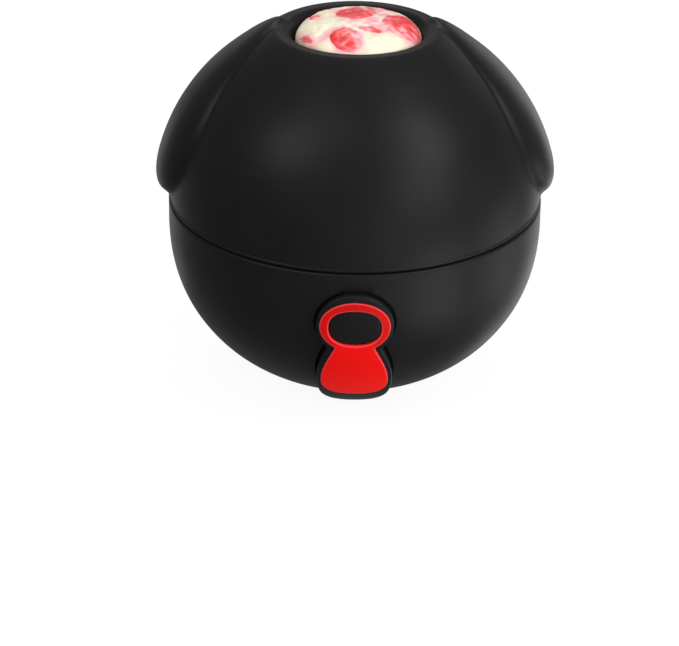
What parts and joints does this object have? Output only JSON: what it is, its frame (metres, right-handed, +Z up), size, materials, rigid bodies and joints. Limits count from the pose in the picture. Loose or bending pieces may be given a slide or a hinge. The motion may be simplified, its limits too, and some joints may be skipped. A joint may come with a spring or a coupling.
{
  "type": "treat dispensing ball",
  "caption": "Thick rubber treat ball in two halves that screw together, with moulded dog ears, a raised nose and tongue, and a frozen filling licked through a round hole.",
  "frame": {"origin": "centre of the flat foot that the ball stands on", "axes": "+Z up through the middle of the round hole, -Y towards the nose and tongue, +X towards one ear"},
  "size_m": [0.0852, 0.0843, 0.0813],
  "materials": {
    "rubber_black": "matt moulded rubber",
    "rubber_red": "matt moulded rubber",
    "rubber_peg": "smooth moulded rubber",
    "filling_cream": "frozen cream",
    "filling_berry": "frozen fruit"
  },
  "bodies": {
    "base": {"base_shell": "rubber_black", "nose_pad": "rubber_black", "tongue_inlay": "rubber_red", "peg_insert": "rubber_peg", "treat_disc": "filling_cream", "disc_fruit": "filling_berry"},
    "filling": {"treat_plug": "filling_cream", "plug_fruit": "filling_berry"},
    "cover": {"cover_shell": "rubber_black"}
  },
  "joints": [
    {"name": "lift", "type": "slide", "parent": "base", "child": "filling", "axis": [0, 0, 1], "range_m": [0, 0.0241]},
    {"name": "unscrew", "type": "hinge", "parent": "filling", "child": "cover", "pos_m": [0, 0, 0.0416], "axis": [0, 0, 1], "range_deg": [0, 1440]}
  ],
  "couplings": [
    {"joint": "lift", "follows": "unscrew", "m_per_rad": 0.00095493}
  ]
}
